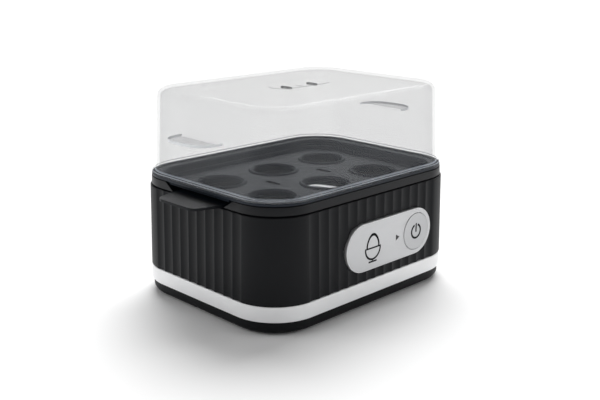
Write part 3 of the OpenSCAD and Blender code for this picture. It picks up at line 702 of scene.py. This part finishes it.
def make_collar():
    ring_z0 = SHELL_Z1 + RING_SEAM
    under_floor_z = TUB_FLOOR_Z - TUB_SHEET
    under_ledge_z = LEDGE_Z - TUB_LEDGE_SHEET
    section = rounded([
        (CENTRE_REACH, under_floor_z, 0), (TUB_FLOOR_OUT, under_floor_z, 1.5),
        (TUB_OUT, TUB_SLOPE_Z - 0.8, 2.0), (TUB_OUT, under_ledge_z, 0.5),
        (SKIRT_IN, under_ledge_z, 0.3), (SKIRT_IN, SKIRT_Z0, 0.3), (SKIRT_OUT, SKIRT_Z0, 0.3),
        (SKIRT_OUT, ring_z0, 0.2), (RING_LOW_OUT, ring_z0, 0.35), (RING_HIGH_OUT, RING_Z1, 0.45),
        (RING_IN, RING_Z1, 0.2), (RING_IN, LEDGE_Z, 0.2), (TUB_IN, LEDGE_Z, 0.5),
        (TUB_IN, TUB_SLOPE_Z, 2.0), (TUB_FLOOR_IN, TUB_FLOOR_Z, 1.5),
        (CENTRE_REACH, TUB_FLOOR_Z, 0),
    ])
    tub = swept("collar_and_tub", section, steps=24)
    screws = at_corners(POST_X, POST_Y)
    cheeks = notch_prism(CHEEK_LOW, CHEEK_HIGH, SHELL_Z1 - 2.2, LEDGE_Z, CORE_X + 25.6,
                         CORE_X + SKIRT_OUT)
    posts = tubes("post", screws, TUB_POST_R, BOSS_Z1, TUB_SLOPE_Z - 2)
    posts += tubes("strap_post", [(-STRAP_POST_X, 0), (STRAP_POST_X, 0)], STRAP_POST_R,
                   STRAP_POST_Z, STRAP_POST_Z + 9)
    combine(tub, [cheeks, mirrored(cheeks, "cheeks_left")] + posts, "UNION")
    notch = notch_prism(NOTCH_LOW, NOTCH_HIGH, SHELL_Z1, RING_Z1 + 2.8, CORE_X + 22.9, CORE_X + 36)
    holes = [notch, mirrored(notch, "notch_left")]
    holes.append(tube("plate_hole", 0, 0, PLATE_HOLE_R, TUB_FLOOR_Z - 6, TUB_FLOOR_Z + 4, 128))
    holes += tubes("post_hole", screws, TUB_PILOT_R, BOSS_Z1 - 1, BOSS_Z1 + 21)
    combine(tub, holes)
    dress(tub, "collar_black", "body", "collar_tub")


PLATE_RIM_R = 50
PLATE_WELL_R = 44.4
PLATE_UNDER_R = 45.4
PLATE_SHEET = 1


def make_plate():
    z0, z1 = PLATE_LOW.z, PLATE_HIGH.z
    section = rounded([
        (0, z0, 0), (PLATE_UNDER_R, z0, 2.2), (PLATE_UNDER_R, z1 - PLATE_SHEET, 0.6),
        (PLATE_RIM_R, z1 - PLATE_SHEET, 0), (PLATE_RIM_R, z1, 0.3), (PLATE_WELL_R, z1, 1.4),
        (PLATE_WELL_R, z0 + PLATE_SHEET, 1.4), (0, z0 + PLATE_SHEET, 0),
    ])
    disc = lathe("heating_plate_disc", section, steps=128)
    dress(disc, "plate_steel", "body", "heating_plate")


# ---------- control panel ----------

PANEL_ROUND = 0.7
PANEL_DEPTH = 4.2
PANEL_SHEET = 2.2
PANEL_WALL = 1.6
MARK_DX = -18.7
LENS_DX = 7.7
BUTTON_R = 13.45
BUTTON_HOLE_R = 13.75
BUTTON_FLANGE_R = 14.9
BUTTON_FLANGE = 1.2
BUTTON_STEM_R = 3.2
BUTTON_STEM = 12.4
BUTTON_DISH = 0.12
PRINT_DEPTH = 0.15
PRINT_PROUD = 0.03


def power_sign_loops():
    """Open ring, with a bar through its gap: the outline of each stroke."""
    gap = 21
    outer = arc(0, 0, 5.7, 90 + gap, 450 - gap, 48)
    inner = arc(0, 0, 4.2, 450 - gap, 90 + gap, 48)
    bar = rounded([
        (-0.72, -0.6, 0.5), (0.72, -0.6, 0.5), (0.72, 6, 0.5), (-0.72, 6, 0.5),
    ], closed=True)
    return [outer + inner], [bar]


def egg_point(a, r):
    """Egg outline with its pointed end up, as a smooth function of the angle."""
    lift = 1.0 + 0.34 * max(0.0, math.sin(a)) ** 1.3
    return r * math.cos(a), r * math.sin(a) * lift


def egg_mark_solids():
    """Egg standing in a plain cup, as separate flat strokes."""
    steps = 40
    top = [math.radians(-14 + 208 * i / steps) for i in range(steps + 1)]
    egg = [egg_point(a, 6.75) for a in top] + [egg_point(a, 5.25) for a in reversed(top)]
    bowl = arc(0, -2, 8.3, 180, 360, 32) + arc(0, -2, 6.9, 360, 180, 32)
    rim = [(-8.2, -2), (8.2, -2), (8.2, -0.9), (-8.2, -0.9)]
    foot = [(-4.2, -11.9), (4.2, -11.9), (4.2, -10.7), (-4.2, -10.7)]
    stem = [(-0.55, -10.9), (0.55, -10.9), (0.55, -8.9), (-0.55, -8.9)]
    return [egg, bowl, rim, foot, stem]


def panel_outline(inset):
    return stadium_loop(0, 0, PANEL_LENGTH - 2 * inset, PANEL_HEIGHT - 2 * inset, 40)


def make_plate_of_panel(centre, face, button_dx):
    """Rounded plate, hollow behind; its rounded edge gets a lighter colour than its face, a painted
    highlight.
    """
    edge = [(0, -PANEL_DEPTH)]
    for angle in range(0, 91, 15):
        a = math.radians(angle)
        edge.append((PANEL_ROUND * (1 - math.cos(a)), PANEL_ROUND * (math.sin(a) - 1)))
    plate = loft("control_panel_plate", [
        [(x, y, z) for x, y in panel_outline(inset)] for inset, z in edge
    ])
    lens = [(LENS_DX - 2, -2.4), (LENS_DX + 2.1, 0), (LENS_DX - 2, 2.4)]
    combine(plate, [
        prism("back", [panel_outline(PANEL_WALL)], -6, -PANEL_SHEET),
        tube("button_hole", button_dx, 0, BUTTON_HOLE_R, -6, CUT, 96),
        prism("lens_hole", [lens], -6, CUT),
    ])
    round_edges(plate, 0.2, 2, angle=50)
    place(plate, facing_front(centre.x, face, centre.z))
    dress(plate, "panel_silver", "body", "control_panel")
    plate.data.materials.append(LOOKS["panel_edge_painted_highlight"])
    # the rim faces take the lighter copy: a painted highlight
    for polygon in plate.data.polygons:
        if 0.3 < -polygon.normal.y < 0.96:
            polygon.material_index = 1


def make_panel():
    centre = (PANEL_LOW + PANEL_HIGH) / 2
    face = -PANEL_LOW.y
    button = (BUTTON_LOW + BUTTON_HIGH) / 2
    make_plate_of_panel(centre, face, button.x - centre.x)

    strokes = [prism("stroke", [loop], -PRINT_DEPTH, PRINT_PROUD) for loop in egg_mark_solids()]
    mark = strokes[0]
    combine(mark, strokes[1:], "UNION")
    mark.name = "egg_mark_print"
    place(mark, facing_front(centre.x + MARK_DX, face, centre.z))
    dress(mark, "print_dark", "body", "egg_mark")

    triangle = rounded([(-1.85, -2.2, 0.15), (1.9, 0, 0.15), (-1.85, 2.2, 0.15)], True)
    window = prism("indicator_window", [triangle], -PANEL_DEPTH, -0.1, 0.12)
    combine(window, [tube("pipe", 0, 0, 2, -19.3, -4)], "UNION")
    place(window, facing_front(centre.x + LENS_DX, face, centre.z))
    dress(window, "lens_smoke", "body", "indicator_lens")

    proud = -BUTTON_LOW.y - face
    flange = -2.2
    under_flange = flange - BUTTON_FLANGE
    cap = lathe("power_button_cap", rounded([
        (0, proud - BUTTON_DISH, 0), (11.6, proud - BUTTON_DISH, 3), (12.6, proud, 0.5),
        (BUTTON_R, proud, 0.45), (BUTTON_R, flange, 0), (BUTTON_FLANGE_R, flange, 0.2),
        (BUTTON_FLANGE_R, under_flange, 0.2), (BUTTON_STEM_R, under_flange, 0.3),
        (BUTTON_STEM_R, -BUTTON_STEM, 0.3), (0, -BUTTON_STEM, 0),
    ]), steps=128)
    place(cap, facing_front(button.x, face, button.z))
    dress(cap, "button_silver", "power_button", "power_button")

    ring, bar = power_sign_loops()
    sign = prism("power_sign_print", ring, proud - 0.2, proud - 0.085)
    sign = join([sign, prism("bar", bar, proud - 0.2, proud - 0.085)])
    place(sign, facing_front(button.x, face, button.z))
    dress(sign, "print_dark", "power_button", "power_symbol")


BUSH_R = 6.2
CORD_HOLE_R = 3.2
GLAND_R = 9


def make_gland():
    gland = (GLAND_LOW + GLAND_HIGH) / 2
    length = GLAND_HIGH.y - GLAND_LOW.y
    section = rounded([
        (CORD_HOLE_R, -length, 0.3), (BUSH_R, -length, 0.4), (BUSH_R, -GLAND_FLANGE, 0),
        (GLAND_R, -GLAND_FLANGE, 0.2), (GLAND_R, 0, 0.7), (4.6, 0, 0.5), (CORD_HOLE_R, -1.2, 0.5),
    ], closed=True)
    bush = lathe("cord_gland_bush", section, closed=True)
    place(bush, facing_rear(gland.x, GLAND_HIGH.y, gland.z))
    dress(bush, "gland_black", "body", "cord_gland")


# ---------- egg tray ----------

SEATS = [(x, y) for x in (-52, 0, 52) for y in (-27, 27)]
SEAT_R = 15.5
TRAY_RIM_OUT = 31.6
TRAY_RIM_STEP = 30.2
TRAY_WALL_OUT = 23.5
TRAY_SHEET = 1.8
SLOT_X = 26
HANDLE_ROUND = 7.0
HANDLE_HALF = 24.2
HANDLE_TAPER = 15.5
BROW_HALF = 31


def handle_outline():
    """Plate that narrows outwards to rounded corners."""
    root = CORE_X + 31.2
    inner = CORE_X + 20.7
    tip = TRAY_HIGH.x - HANDLE_ROUND
    taper = math.radians(HANDLE_TAPER)
    cy = HANDLE_HALF - ((tip - root) * math.sin(taper) + HANDLE_ROUND) / math.cos(taper)
    return ([(inner, -HANDLE_HALF), (root, -HANDLE_HALF)]
            + arc(tip, -cy, HANDLE_ROUND, HANDLE_TAPER - 90, 0, 12)
            + arc(tip, cy, HANDLE_ROUND, 0, 90 - HANDLE_TAPER, 12)
            + [(root, HANDLE_HALF), (inner, HANDLE_HALF)])


def seat_lips(floor):
    """Raised ring with a short funnel under it, round each seat."""
    skirt_r = SEAT_R + 1.6
    foot_r = SEAT_R + 3.4
    section = rounded([
        (SEAT_R, floor - 4.3, 0.4), (skirt_r, floor - 4.3, 0.4), (skirt_r, floor - 0.8, 0),
        (foot_r, floor - 0.8, 0), (foot_r, floor + 0.2, 0.1), (SEAT_R + 2.5, floor + 1.3, 0.5),
        (SEAT_R + 1.2, floor + 1.3, 0.5), (SEAT_R, floor, 0.6),
    ], closed=True)
    return [place(lathe("lip", section, closed=True), move(x, y, 0)) for x, y in SEATS]


def make_tray():
    floor = BEAD_Z - 8.8
    ledge = BEAD_Z - 3
    section = rounded([
        (CENTRE_REACH, floor - TRAY_SHEET, 0), (19.6, floor - TRAY_SHEET, 1.2),
        (21.9, floor + 1.4, 0.8), (TRAY_WALL_OUT, ledge - 1.5, 0.4), (TRAY_WALL_OUT, ledge, 0.3),
        (TRAY_RIM_STEP, ledge, 0.2), (TRAY_RIM_STEP, BEAD_Z - 1.7, 0.1),
        (TRAY_RIM_OUT, BEAD_Z - 1.7, 0.2), (TRAY_RIM_OUT, BEAD_Z, 0.4), (28.9, BEAD_Z, 0.35),
        (28.6, BEAD_Z - 1.2, 0.25), (23.4, BEAD_Z - 1.2, 0.5), (22.4, BEAD_Z - 2.4, 0.4),
        (21.2, floor + 3, 0.4), (20.4, floor + 2.7, 0.3), (19.2, floor, 0.9),
        (CENTRE_REACH, floor, 0),
    ])
    tray = swept("egg_tray_moulding", section, steps=24)
    holes = tubes("seat_hole", SEATS, SEAT_R + 0.8, floor - 6, floor + 6, 96)
    for x in (-SLOT_X, SLOT_X):
        holes.append(prism("slot", [turned_stadium(x, 0, 14, 4.4)], floor - 4, floor + 4))
    combine(tray, holes)

    lips = seat_lips(floor)
    handle = prism("handle", [handle_outline()], floor + 0.4, floor + 2.2, 0.75, 4)
    corners = ((29.2, -BROW_HALF), (31.2, -BROW_HALF), (31.2, BROW_HALF), (29.2, BROW_HALF))
    brow = prism("brow", [[(CORE_X + x, y) for x, y in corners]], BEAD_Z - 3.4, BEAD_Z - 1.2)
    ends = [handle, brow, mirrored(handle, "handle_left"), mirrored(brow, "brow_left")]
    combine(tray, lips + ends, "UNION")
    dress(tray, "tray_slate", "egg_tray", "egg_tray")
    for look in ("tray_rim_gloss_and_painted_highlight", "tray_handle"):
        tray.data.materials.append(LOOKS[look])
    for face in tray.data.polygons:
        middle = face.center / MM
        # outer rim: the glossier, paler copy, partly a painted highlight
        if reach_of(middle) > 30.8 and middle.z > BEAD_Z - 1.75:
            face.material_index = 1
        elif abs(middle.x) > CORE_X + 31.3 and middle.z < floor + 3:
            face.material_index = 2


# ---------- lid ----------

LID_LOW_REACH = 28.8
LID_HIGH_REACH = 26.0
LID_WALL = 2.2
LID_CENTRE_REACH = 10
LID_SPIGOT_REACH = 28.3
FLANGE_REACH = 31.4
FLANGE_H = 1.6
GRIP_H = 30.9
GRIP_OUT = 19.3
GRIP_HALF = 21
GRIP_SHEET = 1.8
VENT_DX = 12.8
VENT_LENGTH = 10
VENT_WIDTH = 3.2


def paint_lid(lid, grip_z, wall_x):
    """Gives the grips their frosted look, the flange's rounded edges a painted highlight, the
    vents' sides painted shade and the flat top a darker tint, also painted shade.
    """
    for look in ("lid_frosted", "lid_rim_painted_highlight", "lid_slot_painted_shade", "lid_top"):
        lid.data.materials.append(LOOKS[look])
    for face in lid.data.polygons:
        middle = face.center / MM
        level = abs(face.normal.z)
        if abs(middle.x) > wall_x + 0.4 and abs(middle.z - grip_z - 0.9) < 0.8:
            face.material_index = 1
        # flange's rounded edges: painted highlight
        elif (BEAD_Z + 0.9 < middle.z < BEAD_Z + 2.8 and reach_of(middle) > LID_LOW_REACH - 0.2
              and 0.2 < level < 0.97):
            face.material_index = 2
        # vent sides: painted shade
        elif (middle.z > LID_TOP - 3 and level < 0.5
              and abs(abs(middle.x) - VENT_DX) < 1.9 and abs(middle.y) < 5.3):
            face.material_index = 3
        # flat top: darker tint, painted shade
        elif middle.z > LID_TOP - 3 and level > 0.93:
            face.material_index = 4


def make_lid():
    flange = BEAD_Z
    top = LID_TOP
    section = rounded([
        (LID_CENTRE_REACH, top - LID_WALL, 0), (LID_HIGH_REACH - LID_WALL, top - LID_WALL, 4.4),
        (LID_LOW_REACH - LID_WALL, LID_LOW, 0.3), (LID_SPIGOT_REACH, LID_LOW, 0.3),
        (LID_SPIGOT_REACH, flange, 0.1), (FLANGE_REACH, flange, 0.35),
        (FLANGE_REACH, flange + FLANGE_H, 0.6), (LID_LOW_REACH - 0.08, flange + FLANGE_H, 1.2),
        (LID_HIGH_REACH, top, 6.6), (LID_CENTRE_REACH, top, 0),
    ], arc_step=9)
    lid = swept("clear_lid_moulding", section, steps=24)
    z = flange + GRIP_H
    lean = LID_LOW_REACH - LID_HIGH_REACH
    wall_x = CORE_X + LID_LOW_REACH - lean * (z - flange) / (top - flange)
    outline = [(wall_x - 1.2, -GRIP_HALF)] + half_oval(wall_x - 0.6, GRIP_OUT, GRIP_HALF)
    outline.append((wall_x - 1.2, GRIP_HALF))
    pull = prism("pull", [outline], z, z + GRIP_SHEET, 0.7, 4)
    combine(lid, [pull, mirrored(pull, "pull_left")], "UNION")
    recess = prism("recess", [stadium_loop(0, 0, 53, 20)], top - 0.9, top + 2, 0.35, 3)
    dimple = prism("dimple", [turned_stadium(0, 0, 7, 2.6)], top - 1.4, top + 3)
    vents = []
    for x in (-VENT_DX, VENT_DX):
        outline = turned_stadium(x, 0, VENT_LENGTH, VENT_WIDTH)
        vents.append(prism("vent", [outline], top - 6, top + 4))
    combine(lid, [recess, dimple] + vents)
    dress(lid, "lid_clear", "lid", "lid")
    paint_lid(lid, z, wall_x)


# ---------- CAD nodes that keep their shape ----------

def dress_cad_nodes():
    """Gives every CAD node that still shows the look of its record slot."""
    slots = {part["node"]: part["material_slot"] for part in frame["record"]["subparts"]}
    for name, obj in frame["nodes"].items():
        if obj.hide_render:
            continue
        material = LOOKS[slots[name]]
        if not obj.material_slots:
            obj.data.materials.append(material)
        for slot in obj.material_slots:
            slot.material = material


# ---------- studio ----------

FLOOR_R = 14000.0  # far enough that its edge never shows against the world


def make_floor():
    floor = prism("studio_floor", [circle_loop(0, 0, FLOOR_R, 96)], -4, 0)
    material, tree, shader, coords = nodes_of("floor_white")
    shade_noise = noise(tree, coords, 3, 2)
    tree.links.new(two_tone(tree, shade_noise, (0.93, 0.93, 0.93), (0.95, 0.95, 0.95)),
                   shader.inputs["Base Color"])
    shader.inputs["Roughness"].default_value = 0.9
    shader.inputs["Specular IOR Level"].default_value = 0.1
    floor.data.materials.append(material)


def soft_box(name, centre, aim, width, height, watts):
    """Rectangular area light at a place in metres, facing another."""
    light = bpy.data.lights.new(name, "AREA")
    light.shape = "RECTANGLE"
    light.size = width
    light.size_y = height
    light.energy = watts
    obj = bpy.data.objects.new(name, light)
    bpy.context.scene.collection.objects.link(obj)
    direction = Vector(aim) - Vector(centre)
    obj.location = centre
    obj.rotation_euler = direction.to_track_quat("-Z", "Y").to_euler()


def make_lights():
    world = bpy.data.worlds.new("studio")
    bpy.context.scene.world = world
    world.use_nodes = True
    background = world.node_tree.nodes["Background"]
    background.inputs["Color"].default_value = (1, 1, 1, 1)
    background.inputs["Strength"].default_value = 0.25
    soft_box("left_soft_box", (-1.3, 0.9, 0.7), (0, 0, 0.08), 1.0, 1.2, 7)
    soft_box("right_soft_box", (1.0, -1.2, 0.7), (0, 0, 0.08), 1.0, 1.2, 5.6)
    data = bpy.data.lights.new("rear_sky", "SUN")
    data.energy = 3.8
    data.angle = math.radians(52)
    sky = bpy.data.objects.new("rear_sky", data)
    bpy.context.scene.collection.objects.link(sky)
    sky.rotation_euler = Vector((-0.7, -0.57, -1.0)).to_track_quat("-Z", "Y").to_euler()


AZIMUTH = math.radians(-44.85)
ELEVATION = math.radians(15.85)
ROLL = math.radians(0.22)
DISTANCE = 0.6577
TARGET = Vector((0.00115, -0.00002, 0.06085))
LENS_MM = 53.56
SENSOR_MM = 36.0


def make_camera():
    data = bpy.data.cameras.new("camera")
    data.lens = LENS_MM
    data.sensor_width = SENSOR_MM
    camera = bpy.data.objects.new("camera", data)
    bpy.context.scene.collection.objects.link(camera)
    away = Vector((
        math.sin(AZIMUTH) * math.cos(ELEVATION),
        -math.cos(AZIMUTH) * math.cos(ELEVATION),
        math.sin(ELEVATION),
    ))
    camera.location = TARGET + away * DISTANCE
    look = (-away).to_track_quat("-Z", "Y").to_matrix().to_4x4()
    camera.rotation_euler = (look @ Matrix.Rotation(ROLL, 4, "Z")).to_euler()
    bpy.context.scene.camera = camera


make_camera()
make_base_pan()
make_band()
make_shell()
make_collar()
make_plate()
make_panel()
make_gland()
make_tray()
make_lid()
dress_cad_nodes()
make_floor()
make_lights()
bpy.context.scene.view_settings.view_transform = "Standard"
